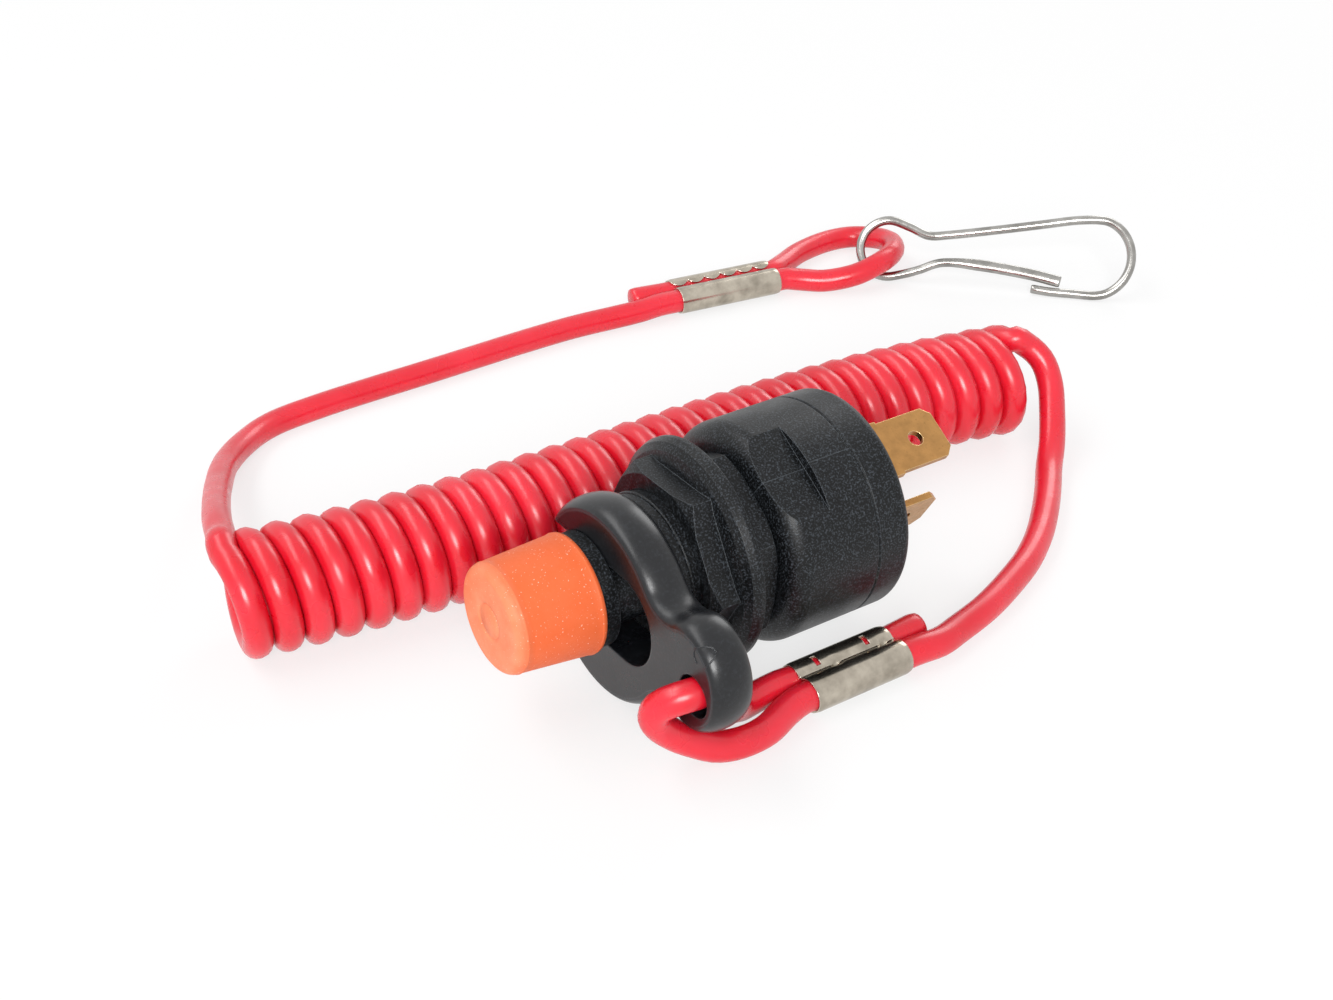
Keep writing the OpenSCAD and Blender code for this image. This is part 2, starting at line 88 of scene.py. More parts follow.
class Slot(Enum):
    """Material slots of the record, one for each finish."""

    CAP = "cap_rubber"
    BODY = "black_nylon"
    CLIP = "clip_nylon"
    SEAL = "seal_rubber"
    SPRING = "spring_steel"
    BRASS = "terminal_brass"
    CONTACT = "contact_silver"
    CORD = "cord_urethane"
    FERRULE = "ferrule_nickel"
    HOOK = "hook_nickel"


class Body(Enum):
    """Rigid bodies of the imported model."""

    SWITCH = "switch"
    BUTTON = "button"
    CLIP = "clip"


def linear(code: str) -> tuple[float, float, float, float]:
    """Turns an sRGB hex colour into linear red, green, blue and alpha.

    Args:
        code: Colour as "#RRGGBB".

    Returns:
        The colour as Blender's shaders take it.
    """
    parts = [int(code[i : i + 2], 16) / 255 for i in (1, 3, 5)]
    red, green, blue = (c / 12.92 if c <= 0.04045 else ((c + 0.055) / 1.055) ** 2.4 for c in parts)
    return red, green, blue, 1.0


def placed(points: Sequence[Point] | np.ndarray) -> np.ndarray:
    """Moves bench points in millimetres to the part's frame in metres.

    Args:
        points: Points in the bench frame.

    Returns:
        The same points, one row each, in metres.
    """
    return (np.asarray(points, float) + BENCH_ORIGIN) * MM


# Materials


def noise_to(low: float, high: float) -> dict[str, float]:
    """Returns Map Range inputs that spread noise, which is mostly 0.3 to 0.7, over a range."""
    return {"From Min": 0.3, "From Max": 0.7, "To Min": low, "To Max": high}


class Tree:
    """Node tree that is built one node at a time."""

    def __init__(self, tree: bpy.types.NodeTree) -> None:
        """Empties the tree.

        Args:
            tree: Tree of a material or of the world.
        """
        self.tree = tree
        self.tree.nodes.clear()

    def add(
        self, kind: str, inputs: dict | None = None, out: int | str = 0, **settings: object
    ) -> Socket | None:
        """Adds one node with its settings and links.

        Args:
            kind: Blender's name of the node type, without the ShaderNode before it.
            inputs: Socket name or number to a value, or to the socket it is fed from.
            out: Name or number of the output that is wanted.
            **settings: Properties of the node.

        Returns:
            That output, or None for a node without outputs.
        """
        node = self.tree.nodes.new("ShaderNode" + kind)
        for name, value in settings.items():
            setattr(node, name, value)
        for name, value in (inputs or {}).items():
            if isinstance(value, bpy.types.NodeSocket):
                self.tree.links.new(value, node.inputs[name])
            else:
                node.inputs[name].default_value = value
        return node.outputs[out] if node.outputs else None

    def seen(self) -> Socket:
        """Mask of the rays that end in the picture as they are.

        Returns:
            Value 1 for camera, glossy and transmission rays, 0 for the rays that light the object.
        """
        mask = self.add("LightPath", out="Is Camera Ray")
        for kind in ("Is Glossy Ray", "Is Transmission Ray"):
            ray = self.add("LightPath", out=kind)
            mask = self.add("Math", {0: mask, 1: ray}, operation="MAXIMUM")
        return mask


class Shader(Tree):
    """Node tree of one material, with the part's coordinates in millimetres."""

    def __init__(self, name: str) -> None:
        """Starts the tree.

        Args:
            name: Name of the material, in a maker's words.
        """
        self.material = bpy.data.materials.new(name)
        self.material.use_nodes = True
        super().__init__(self.material.node_tree)
        place = self.add("TexCoord", out="Object")
        self.mm = self.add("VectorMath", {0: place, 1: (1 / MM,) * 3}, operation="MULTIPLY")

    def corners(self, width_mm: float) -> Socket:
        """Mask of the strip along sharp corners, where the finishes paint a highlight.

        Args:
            width_mm: Width of the strip.

        Returns:
            Value from 0 on flats to 1 on corners.
        """
        rounded = self.add("Bevel", {"Radius": width_mm * MM}, samples=BEVEL_SAMPLES)
        plain = self.add("NewGeometry", out="Normal")
        turn = self.add("VectorMath", {0: rounded, 1: plain}, "Value", operation="DOT_PRODUCT")
        # The two normals' cosine, where the strip starts and where it is full
        return self.add("MapRange", {"Value": turn, "From Min": 0.99, "From Max": 0.82})

    def finish(self, sockets: dict) -> Material:
        """Closes the tree with a Principled shader.

        Args:
            sockets: Name of each of its sockets to a value, or to the socket it is fed from.

        Returns:
            The finished material.
        """
        surface = self.add("BsdfPrincipled", sockets)
        self.add("OutputMaterial", {"Surface": surface})
        return self.material


@dataclass(frozen=True)
class GlassFilledNylon:
    """Glass-filled nylon from a spark-eroded mould: near black, with a frosted grain.

    The grain breaks highlights into pale bluish specks, and a painted highlight
    along sharp corners and the parting line gives thin pale lines.
    """

    name: str
    base: str = "#070809"
    frost: str = "#40454B"
    # Colour of the painted highlight along sharp corners and the parting line
    corner: str = "#5A6066"
    # A spark-eroded grain is about 0.05 mm: it is drawn coarser, so that it shows
    grain_mm: float = 0.2
    relief_mm: float = 0.022
    # Noise values between which the frost sets in
    frost_from: float = 0.5
    frost_to: float = 0.74
    cloud_mm: float = 5.0
    corner_mm: float = 0.14
    # Share of the painted highlight's colour on sharp corners
    corner_highlight_share: float = 0.6
    roughness: Span = (0.32, 0.46)
    specular: float = 0.24
    ior: float = 1.53
    # Part x between which the mould's halves left their line, none if both are 0
    parting: Span = (0.0, 0.0)
    parting_mm: float = 0.05
    parting_share: float = 0.35

    def build(self) -> Material:
        """Builds the node tree.

        Returns:
            The material.
        """
        shader = Shader(self.name)
        add = shader.add
        grain = add("TexNoise", {"Vector": shader.mm, "Scale": 1 / self.grain_mm, "Detail": 2.0})
        cloud = add("TexNoise", {"Vector": shader.mm, "Scale": 1 / self.cloud_mm, "Detail": 3.0})
        specks = add("MapRange", {"Value": grain, "From Min": self.frost_from, "From Max": self.frost_to})
        tones = {SHARE: specks, FIRST: linear(self.base), SECOND: linear(self.frost)}
        frosted = add("Mix", tones, MIXED, data_type="RGBA")
        # Painted highlight: sharp corners and the parting line get the pale corner colour
        corners = shader.corners(self.corner_mm)
        highlight_lines = add("Math", {0: corners, 1: self.corner_highlight_share}, operation="MULTIPLY")
        if self.parting[1] > self.parting[0]:
            highlight_lines = add("Math", {0: highlight_lines, 1: self.parting_line(shader)}, operation="MAXIMUM")
        highlighted = {SHARE: highlight_lines, FIRST: frosted, SECOND: linear(self.corner)}
        soft = add("Bevel", {"Radius": self.corner_mm * MM}, samples=BEVEL_SAMPLES)
        relief = {"Height": grain, "Distance": self.relief_mm * MM, "Strength": 1.0, "Normal": soft}
        return shader.finish({
            "Base Color": add("Mix", highlighted, MIXED, data_type="RGBA"),
            "Roughness": add("MapRange", {"Value": cloud, **noise_to(*self.roughness)}),
            "IOR": self.ior,
            "Specular IOR Level": self.specular,
            "Normal": add("Bump", relief),
        })

    def parting_line(self, shader: Shader) -> Socket:
        """Mask of the thin line where the mould's halves met, on top of the rolled body, which gets the
        painted highlight of the corners.

        Args:
            shader: Tree that it goes into.

        Returns:
            Value parting_share on the line and 0 elsewhere.
        """
        add = shader.add
        # Directions square to the axis: across the line, and out of the body where the line is
        across = (0.0, math.cos(BODY_ROLL), math.sin(BODY_ROLL))
        outwards = (0.0, -math.sin(BODY_ROLL), math.cos(BODY_ROLL))
        axis = (0.0, float(BENCH_ORIGIN[1]), AXIS_HEIGHT)
        local = add("VectorMath", {0: shader.mm, 1: axis}, operation="SUBTRACT")
        side = add("VectorMath", {0: local, 1: across}, "Value", operation="DOT_PRODUCT")
        height = add("VectorMath", {0: local, 1: outwards}, "Value", operation="DOT_PRODUCT")
        station = add("SeparateXYZ", {0: local}, "X")
        near = add("Math", {0: side, 1: 0.0, 2: self.parting_mm}, operation="COMPARE")
        above = add("Math", {0: height, 1: 0.0}, operation="GREATER_THAN")
        middle, reach = sum(self.parting) / 2, (self.parting[1] - self.parting[0]) / 2
        along = add("Math", {0: station, 1: middle, 2: reach}, operation="COMPARE")
        mask = near
        for factor in (above, along, self.parting_share):
            mask = add("Math", {0: mask, 1: factor}, operation="MULTIPLY")
        return mask


@dataclass(frozen=True)
class SiliconeRubber:
    """Press-moulded silicone rubber: matte, with pale scuffs and dust, and its pressed face paler from wear
    and from painted light.
    """

    name: str
    colour: str = "#E2612B"
    # Pale colour of wear, and of painted light on the pressed face
    worn_and_lit: str = "#F29A74"
    dust: str = "#FCD9C6"
    skin_mm: float = 0.4
    relief_mm: float = 0.02
    # Dust grains of about 0.05 mm are drawn coarser, so that they show
    dust_mm: float = 0.2
    dust_share: float = 0.8
    # Part x between which the pale share, wear with painted light on the pressed face, fades to the side's
    # share of wear
    face_from: float = -27.3
    face_to: float = -25.6
    face_wear_and_light: float = 0.62
    side_wear: float = 0.1
    blotches_per_mm: float = 0.35
    blotch_wear: Span = (0.6, 1.3)
    roughness: Span = (0.5, 0.68)
    ior: float = 1.43

    def build(self) -> Material:
        """Builds the node tree.

        Returns:
            The material.
        """
        shader = Shader(self.name)
        add = shader.add
        skin = add("TexNoise", {"Vector": shader.mm, "Scale": 1 / self.skin_mm, "Detail": 5.0})
        blotch = add("TexNoise", {"Vector": shader.mm, "Scale": self.blotches_per_mm, "Detail": 4.0})
        grains = add("TexNoise", {"Vector": shader.mm, "Scale": 1 / self.dust_mm, "Detail": 1.0})
        station = add("SeparateXYZ", {0: shader.mm}, "X")
        fade = {"From Min": self.face_from, "From Max": self.face_to}
        fade |= {"To Min": self.face_wear_and_light, "To Max": self.side_wear}
        # The pressed face is paler than the side: partly wear, partly painted light where it faces the lamps
        face = add("MapRange", {"Value": station, **fade})
        patches = add("MapRange", {"Value": blotch, **noise_to(*self.blotch_wear)})
        wear_and_light = add("Math", {0: face, 1: patches}, operation="MULTIPLY", use_clamp=True)
        tones = {SHARE: wear_and_light, FIRST: linear(self.colour), SECOND: linear(self.worn_and_lit)}
        rubbed_and_lit = add("Mix", tones, MIXED, data_type="RGBA")
        # Only the highest peaks of the noise are motes
        peaks = {"From Min": 0.7, "From Max": 0.76, "To Max": self.dust_share}
        motes = add("MapRange", {"Value": grains, **peaks})
        dusty = {SHARE: motes, FIRST: rubbed_and_lit, SECOND: linear(self.dust)}
        relief = {"Height": skin, "Distance": self.relief_mm * MM, "Strength": 0.7}
        return shader.finish({
            "Base Color": add("Mix", dusty, MIXED, data_type="RGBA"),
            "Roughness": add("MapRange", {"Value": skin, **noise_to(*self.roughness)}),
            "IOR": self.ior,
            "Subsurface Weight": 0.1,
            "Subsurface Radius": (1.0, 0.4, 0.2),
            "Subsurface Scale": 1.5 * MM,
            "Normal": add("Bump", relief),
        })


@dataclass(frozen=True)
class PolyurethaneCord:
    """Extruded polyurethane: clear red that glows from within, under a half-glossy skin."""

    name: str
    colour: str = "#DE2438"
    deep: str = "#D21026"
    cloud_mm: float = 8.0
    skin_mm: float = 2.5
    roughness: Span = (0.24, 0.34)
    ior: float = 1.5

    def build(self) -> Material:
        """Builds the node tree.

        Returns:
            The material.
        """
        shader = Shader(self.name)
        add = shader.add
        cloud = add("TexNoise", {"Vector": shader.mm, "Scale": 1 / self.cloud_mm, "Detail": 2.0})
        skin = add("TexNoise", {"Vector": shader.mm, "Scale": 1 / self.skin_mm, "Detail": 2.0})
        depth = add("MapRange", {"Value": cloud, **noise_to(0.0, 1.0)})
        tones = {SHARE: depth, FIRST: linear(self.colour), SECOND: linear(self.deep)}
        return shader.finish({
            "Base Color": add("Mix", tones, MIXED, data_type="RGBA"),
            "Roughness": add("MapRange", {"Value": skin, **noise_to(*self.roughness)}),
            "IOR": self.ior,
            "Specular IOR Level": 0.6,
            "Subsurface Weight": 0.35,
            "Subsurface Radius": (1.0, 0.16, 0.14),
            "Subsurface Scale": 1.6 * MM,
        })


@dataclass(frozen=True)
class WorkedMetal:
    """Stamped, drawn or plated metal: stains on its faces, and a painted highlight that brightens its sharp
    corners.
    """

    name: str
    colour: str
    stain: str
    # Colour of the painted highlight on sharp corners
    corner: str
    roughness: Span = (0.25, 0.4)
    stain_mm: float = 2.5
    stained: float = 0.6
    # Pits of a few hundredths of a millimetre are drawn coarser, so that they show
    pit_mm: float = 0.25
    pitted: float = 0.0
    relief_mm: float = 0.008
    corner_mm: float = 0.12

    def build(self) -> Material:
        """Builds the node tree.

        Returns:
            The material.
        """
        shader = Shader(self.name)
        add = shader.add
        pits = add("TexNoise", {"Vector": shader.mm, "Scale": 1 / self.pit_mm, "Detail": 3.0})
        cloud = add("TexNoise", {"Vector": shader.mm, "Scale": 1 / self.stain_mm, "Detail": 4.0})
        broad = {"Value": cloud, "From Min": 0.35, "From Max": 0.7, "To Max": self.stained}
        dots = {"Value": pits, "From Min": 0.6, "From Max": 0.72, "To Max": self.pitted}
        stains, specks = (add("MapRange", inputs) for inputs in (broad, dots))
        marks = add("Math", {0: stains, 1: specks}, operation="MAXIMUM")
        tones = {SHARE: marks, FIRST: linear(self.colour), SECOND: linear(self.stain)}
        face = add("Mix", tones, MIXED, data_type="RGBA")
        # Painted highlight: sharp corners get the bright corner colour
        highlighted = {SHARE: shader.corners(self.corner_mm), FIRST: face, SECOND: linear(self.corner)}
        soft = add("Bevel", {"Radius": self.corner_mm * MM}, samples=BEVEL_SAMPLES)
        relief = {"Height": pits, "Distance": self.relief_mm * MM, "Strength": 1.0, "Normal": soft}
        return shader.finish({
            "Base Color": add("Mix", highlighted, MIXED, data_type="RGBA"),
            "Metallic": 1.0,
            "Roughness": add("MapRange", {"Value": pits, **noise_to(*self.roughness)}),
            "Normal": add("Bump", relief),
        })


FINISHES: dict[Slot, object] = {
    Slot.CAP: SiliconeRubber("silicone_rubber_moulded_orange"),
    Slot.BODY: GlassFilledNylon("glass_filled_nylon_moulded", parting=(1.6, 12.8)),
    # The clip's mould was polished, so it is smoother and glossier than the body
    Slot.CLIP: GlassFilledNylon(
        "nylon_moulded_smooth", base="#101114", frost="#1E2024", corner="#4A4D51", grain_mm=0.4,
        relief_mm=0.006, cloud_mm=4.0, corner_mm=0.3, roughness=(0.26, 0.34), specular=0.42,
    ),
    Slot.SEAL: SiliconeRubber("nitrile_rubber_moulded", "#141414", "#242424", "#303030"),
    Slot.SPRING: WorkedMetal("spring_steel_drawn", "#B0B0AE", "#8E8D8A", "#D0D0CE"),
    # Blanked brass strip: satin faces with stains and dark specks, and sheared corners brightened by a
    # painted highlight
    Slot.BRASS: WorkedMetal(
        "brass_stamped", "#BA8B55", "#80603A", "#E8CB98", roughness=(0.3, 0.46), stain_mm=1.2,
        stained=0.4, pit_mm=0.3, pitted=0.5, relief_mm=0.01, corner_mm=0.15,
    ),
    Slot.CONTACT: WorkedMetal("silver_alloy_riveted", "#D8D6D0", "#B5B2AA", "#F0EEEA"),
    Slot.CORD: PolyurethaneCord("polyurethane_cord_extruded"),
    # Nickel over brass, scuffed by the crimping tool and a little warm
    Slot.FERRULE: WorkedMetal(
        "nickel_plate_crimped", "#C2B9AA", "#81796C", "#F4ECDE", roughness=(0.16, 0.24), stain_mm=2.0,
        stained=0.7, pit_mm=1.2, relief_mm=0.002,
    ),
    # Bright nickel on drawn wire, with faint draw marks
    Slot.HOOK: WorkedMetal(
        "nickel_plate_bright", "#AFADA9", "#7A7874", "#D2D0CC", roughness=(0.16, 0.26), stained=0.7,
        pit_mm=0.8, relief_mm=0.003,
    ),
}


class Palette:
    """Every finish of the object, built once."""

    def __init__(self) -> None:
        """Builds the materials."""
        self.materials = {slot: finish.build() for slot, finish in FINISHES.items()}

    def dress(self, obj: Object, slot: Slot) -> None:
        """Gives an object the finish of a slot.

        Args:
            obj: Piece or CAD node.
            slot: Slot of its finish.
        """
        if obj.material_slots:
            for place in obj.material_slots:
                place.material = self.materials[slot]
        else:
            obj.data.materials.append(self.materials[slot])


# Meshes


def new_piece(name: str, points: np.ndarray, faces: Sequence[Sequence[int]], smooth: bool = True) -> Object:
    """Makes an object from points in the part's frame.

    Args:
        name: Name of the piece.
        points: Vertices in metres.
        faces: Vertex numbers of each face.
        smooth: Whether faces are shaded smooth.

    Returns:
        The new object, linked to the scene.
    """
    mesh = bpy.data.meshes.new(name)
    mesh.from_pydata([tuple(map(float, p)) for p in points], [], [list(f) for f in faces])
    mesh.validate()
    work = bmesh.new()
    work.from_mesh(mesh)
    bmesh.ops.recalc_face_normals(work, faces=work.faces)
    work.to_mesh(mesh)
    work.free()
    for face in mesh.polygons:
        face.use_smooth = smooth
    obj = bpy.data.objects.new(name, mesh)
    bpy.context.scene.collection.objects.link(obj)
    return obj


def settle_modifiers(obj: Object, sharp_deg: float) -> None:
    """Applies an object's modifiers to its mesh and marks its sharp corners.

    Args:
        obj: Object with modifiers.
        sharp_deg: Angle between faces from which a corner is sharp.
    """
    bpy.context.view_layer.update()
    result = bpy.data.meshes.new_from_object(obj.evaluated_get(bpy.context.evaluated_depsgraph_get()))
    obj.modifiers.clear()
    obj.data = result
    for face in result.polygons:
        face.use_smooth = True
    result.set_sharp_from_angle(angle=math.radians(sharp_deg))


def grid_faces(rings: int, sides: int, closed: bool = True) -> list[tuple[int, ...]]:
    """Quads between rings of the same number of points.

    Args:
        rings: Number of rings.
        sides: Points on each ring.
        closed: Whether a ring's last point joins its first, and each end gets one face.

    Returns:
        Vertex numbers of each face.
    """
    faces: list[tuple[int, ...]] = []
    for low in range(0, (rings - 1) * sides, sides):
        high = low + sides
        for k in range(sides if closed else sides - 1):
            after = (k + 1) % sides
            faces.append((low + k, low + after, high + after, high + k))
    if closed:
        faces.append(tuple(range(sides - 1, -1, -1)))
        faces.append(tuple((rings - 1) * sides + k for k in range(sides)))
    return faces


def closed_skin(name: str, rings: Sequence[np.ndarray], smooth: bool = True) -> Object:
    """Solid whose skin runs from ring to ring.

    Args:
        name: Name of the piece.
        rings: Bench points of each ring, all of the same number.
        smooth: Whether faces are shaded smooth.

    Returns:
        The new piece.
    """
    faces = grid_faces(len(rings), len(rings[0]))
    return new_piece(name, placed(np.concatenate(rings)), faces, smooth)


def distances(points: np.ndarray) -> np.ndarray:
    """Returns how far along a line of points each of them lies."""
    return np.concatenate([[0], np.cumsum(np.linalg.norm(np.diff(points, axis=0), axis=1))])


def smooth_route(points: Sequence[Point], step: float) -> np.ndarray:
    """Smooth curve through given points, at even steps.

    Args:
        points: Points that the curve goes through.
        step: Distance between two points of the result.

    Returns:
        Points along the curve.
    """
    p = np.asarray(points, float)
    p = np.vstack([2 * p[0] - p[1], p, 2 * p[-1] - p[-2]])
    t = np.linspace(0, 1, 24, endpoint=False)[:, None]
    parts = []
    for a, b, c, d in zip(p[:-3], p[1:-2], p[2:-1], p[3:]):
        curve = 2 * b + (c - a) * t + (2 * a - 5 * b + 4 * c - d) * t**2 + (3 * b - a - 3 * c + d) * t**3
        parts.append(curve / 2)
    dense = np.vstack([*parts, p[-2]])
    along = distances(dense)
    stations = np.linspace(0, along[-1], max(3, round(along[-1] / step) + 1))
    return np.stack([np.interp(stations, along, dense[:, k]) for k in range(3)], 1)


def tube(
    name: str,
    centres: np.ndarray,
    radius: float,
    sides: int = 16,
    shape: Callable[[float], Span] | None = None,
    up: Point = (0, 0, 1),
) -> Object:
    """Round tube along a line of points, with rounded rims at its ends.

    Args:
        name: Name of the piece.
        centres: Points of the line in the bench frame.
        radius: Radius of the tube.
        sides: Points round each ring.
        shape: Gives side and up factors for a share of the length.
        up: Direction that the first ring's top faces.

    Returns:
        The new piece.
    """
    heading = np.gradient(centres, axis=0)
    heading /= np.linalg.norm(heading, axis=1)[:, None]
    side = np.cross(heading[0], np.asarray(up, float))
    side /= np.linalg.norm(side)
    angle = np.linspace(0, 2 * math.pi, sides, endpoint=False)[:, None]
    last = len(centres) - 1
    rows = []
    plan = [(0, inwards, share) for inwards, share in TUBE_RIM]
    plan += [(i, 0.0, 1.0) for i in range(1, last)]
    plan += [(last, -inwards, share) for inwards, share in reversed(TUBE_RIM)]
    for i, shift, share in plan:
        side = side - heading[i] * float(side @ heading[i])
        side /= np.linalg.norm(side)
        wide, tall = shape(i / last) if shape else (1.0, 1.0)
        ring = wide * np.cos(angle) * side + tall * np.sin(angle) * np.cross(side, heading[i])
        rows.append(centres[i] + heading[i] * shift * radius * 2 + ring * radius * share)
    return closed_skin(name, rows)


# Sub-assemblies


@dataclass
class Assembly:
    """Pieces that are made together, with the finishes that they share."""

    palette: Palette

    def settle(self, piece: Object, slot: Slot, body: Body, node: str = "") -> Object:
        """Puts a finished piece on its body, in place of a CAD node where it stands for one.

        Args:
            piece: The piece.
            slot: Slot of its finish.
            body: Body that it rides on.
            node: CAD node that it replaces, if any.

        Returns:
            The same piece.
        """
        if node:
            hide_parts(node)
        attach(piece, body.value)
        LOG.info("built %s", piece.name)
        self.palette.dress(piece, slot)
        return piece


@dataclass
class Switch(Assembly):
    """Body, nuts, cover and blades: CAD nodes that keep their shapes, and the neck's thread."""

    thread_r: float = 7.98
    ridge_r: float = 0.25
    thread_pitch: float = 1.5
    thread_front: float = -7.8
    thread_rear: float = -4.85
    steps_per_turn: int = 72

    def dress_nodes(self, nodes: dict[str, Object]) -> None:
        """Gives each CAD node of the switch its finish.

        Args:
            nodes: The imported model's nodes by name.
        """
        groups = {
            Slot.BODY: ("front_housing", "rear_cover", "flange_nut", "lock_nut", "plunger"),
            Slot.SEAL: ("stem_seal",),
            Slot.SPRING: ("return_spring", "contact_spring", "retaining_ring"),
            Slot.BRASS: ("contact_bridge", "terminal_upper", "terminal_lower"),
            Slot.CONTACT: ("fixed_contacts",),
        }
        for slot, names in groups.items():
            for name in names:
                self.palette.dress(nodes[name], slot)
                LOG.info("dressed %s as %s", name, slot.value)

    def add_thread(self) -> None:
        """Winds the thread's ridge round the bare stretch of neck."""
        turns = (self.thread_rear - self.thread_front) / self.thread_pitch
        q = np.linspace(0, 2 * math.pi * turns, round(turns * self.steps_per_turn) + 1)
        x = self.thread_front + self.thread_pitch * q / (2 * math.pi)
        route = np.stack([x, self.thread_r * np.cos(q), AXIS_HEIGHT + self.thread_r * np.sin(q)], 1)
        ridge = tube("neck_thread", route, self.ridge_r, 8, up=(1, 0, 0))
        self.settle(ridge, Slot.BODY, Body.SWITCH)


@dataclass
class ButtonCap(Assembly):
    """Orange rubber cap with its mould flash and the ring mark on its face."""

    face: float = -25.05
    rim: float = -15.07
    face_r: float = 5.95
    rim_r: float = 6.6
    edge_r: float = 1.1
    # Distance behind the edge, and radius beyond the face's, of the flash where the mould's halves met
    flash: Points = ((0.05, 0.07), (0.16, 0.01))
    # The soft cap sits a hair askew: its face is higher than its rim
    face_lift: float = 0.35
    # Depth and radius of the ejector's ring on the face, from the middle out
    ring_mark: Points = (
        (0.04, 0.02), (0.04, 1.74), (0.14, 1.84), (0.14, 1.96), (0.02, 2.08), (0.0, 2.5), (0.0, 3.57)
    )
    # Distance before the rim, and radius beyond the rim's, with a second line of flash
    rim_profile: Points = ((0.5, 0.0), (0.42, 0.035), (0.3, 0.0), (0.1, -0.02), (0.0, -0.15))
    bore_r: float = 4.6
    segments: int = 128

    def build(self) -> None:
        """Builds the cap in place of its CAD node, turned from its outline."""
        outline: list[Point] = [(self.face + depth, r) for depth, r in self.ring_mark]
        line, edge = self.face + self.edge_r, self.face_r - self.edge_r
        for q in np.linspace(0, math.pi / 2, 8):
            outline.append((line - self.edge_r * math.cos(q), edge + self.edge_r * math.sin(q)))
        outline += [(line + behind, self.face_r + beyond) for behind, beyond in self.flash]
        for share in np.linspace(0.1, 0.93, 12):
            radius = self.face_r + share * (self.rim_r - self.face_r)
            outline.append((line + share * (self.rim - line), radius))
        outline += [(self.rim - before, self.rim_r + beyond) for before, beyond in self.rim_profile]
        outline.append((self.rim, self.bore_r))
        turn = np.linspace(0, 2 * math.pi, self.segments, endpoint=False)
        rings = []
        for station, r in outline:
            raised = AXIS_HEIGHT + self.face_lift * (self.rim - station) / (self.rim - self.face)
            ring = [np.full(self.segments, station), r * np.cos(turn), raised + r * np.sin(turn)]
            rings.append(np.stack(ring, 1))
        cap = closed_skin("cap_skin", rings)
        self.settle(cap, Slot.CAP, Body.BUTTON, "button_cap")


